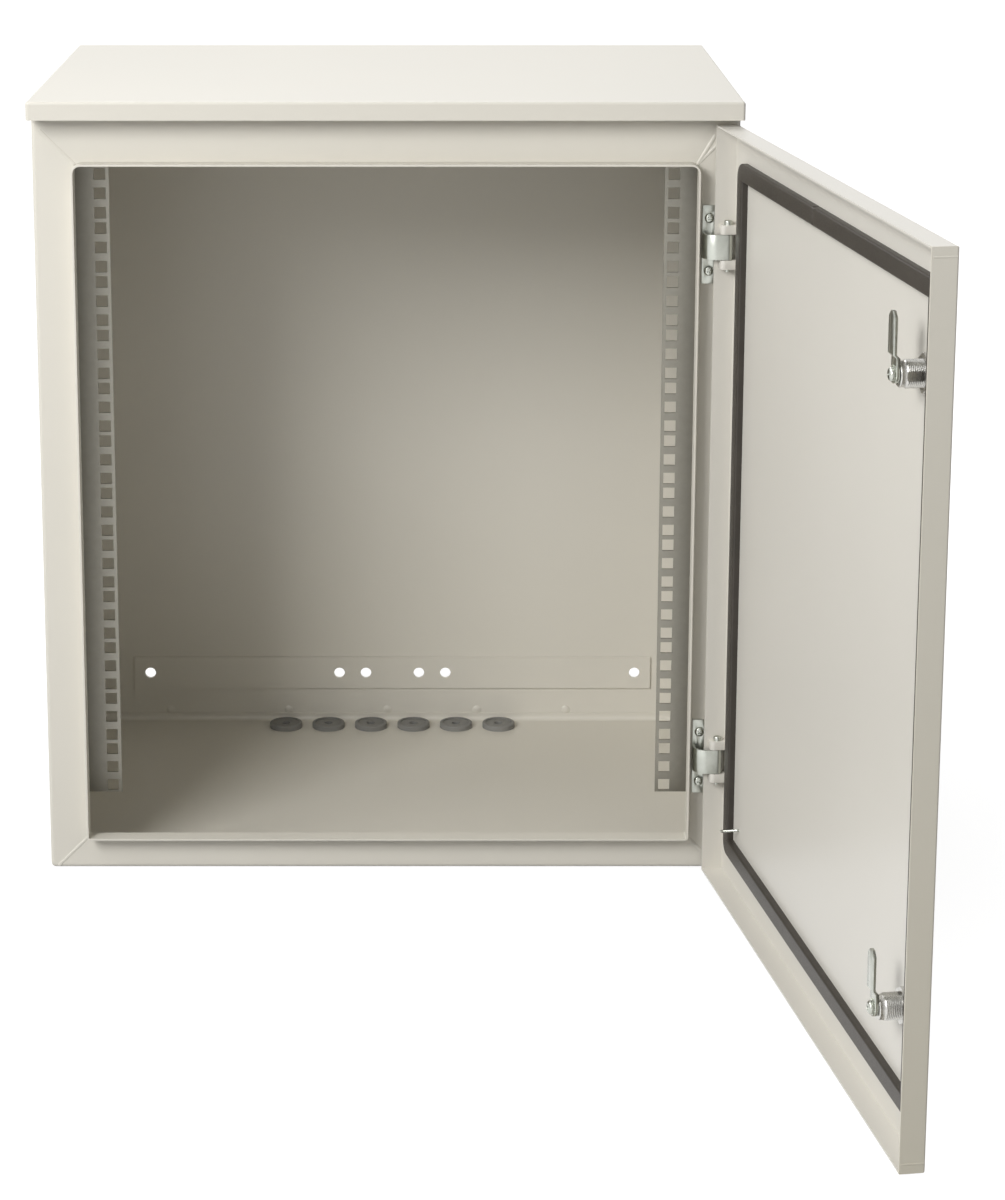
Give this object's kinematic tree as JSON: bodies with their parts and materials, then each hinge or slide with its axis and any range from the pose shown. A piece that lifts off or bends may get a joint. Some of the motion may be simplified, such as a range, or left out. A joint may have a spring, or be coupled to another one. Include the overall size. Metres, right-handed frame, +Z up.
{
  "type": "outdoor rack cabinet",
  "caption": "Steel wall cabinet for 19 inch rack equipment with a roof hood, square-hole rack rails, cable grommets in the floor and a hinged door with a gasket and cam locks.",
  "frame": {"origin": "centre of the cabinet's underside, midway between its front flange and its back face", "axes": "+Z up, +Y towards the wall behind it, +X towards the hinge side of the door"},
  "size_m": [0.6429, 0.9358, 0.6422],
  "materials": {
    "body_paint": "light warm grey powder coat, fine texture, satin",
    "door_paint": "light warm grey powder coat, fine texture, satin",
    "hinge_zinc": "bright zinc plate with a faint yellow passivation",
    "lock_zinc": "nickel plated die casting",
    "rail_zinc": "galvanised steel, dull grey",
    "cam_steel": "zinc plated steel",
    "gasket_foam": "dark closed-cell foam strip",
    "grommet_rubber": "grey moulded rubber, matt"
  },
  "bodies": {
    "cabinet": {"left_side_panel": "body_paint", "right_side_panel": "body_paint", "top_panel": "body_paint", "floor_panel": "body_paint", "back_panel": "body_paint", "lower_wall_plate": "body_paint", "upper_wall_plate": "body_paint", "frame_left": "body_paint", "frame_right": "body_paint", "frame_top": "body_paint", "frame_bottom": "body_paint", "roof_hood": "body_paint", "left_rack_rail": "rail_zinc", "right_rack_rail": "rail_zinc", "grommet_1": "grommet_rubber", "grommet_2": "grommet_rubber", "grommet_3": "grommet_rubber", "grommet_4": "grommet_rubber", "grommet_5": "grommet_rubber", "grommet_6": "grommet_rubber", "upper_hinge_leaf": "hinge_zinc", "lower_hinge_leaf": "hinge_zinc"},
    "door": {"door_panel": "door_paint", "door_gasket": "gasket_foam", "door_earth_stud": "cam_steel", "upper_door_lugs": "door_paint", "upper_hinge_pin": "hinge_zinc", "lower_door_lugs": "door_paint", "lower_hinge_pin": "hinge_zinc", "upper_lock_body": "lock_zinc", "upper_lock_nut": "lock_zinc", "lower_lock_body": "lock_zinc", "lower_lock_nut": "lock_zinc"},
    "upper_cam": {"upper_cam": "cam_steel", "upper_cam_screw": "cam_steel"},
    "lower_cam": {"lower_cam": "cam_steel", "lower_cam_screw": "cam_steel"}
  },
  "joints": [
    {"name": "door_hinge", "type": "hinge", "parent": "cabinet", "child": "door", "pos_m": [0.2705, -0.2031, 0.312], "axis": [0, 0, 1], "range_deg": [-98.7, 11.3]},
    {"name": "upper_cam_turn", "type": "hinge", "parent": "door", "child": "upper_cam", "pos_m": [0.3325, -0.69488, 0.531], "axis": [0.9885, 0.1513, 0], "range_deg": [0, 90]},
    {"name": "lower_cam_turn", "type": "hinge", "parent": "door", "child": "lower_cam", "pos_m": [0.3325, -0.69488, 0.0973], "axis": [0.9885, 0.1513, 0], "range_deg": [0, 90]}
  ]
}
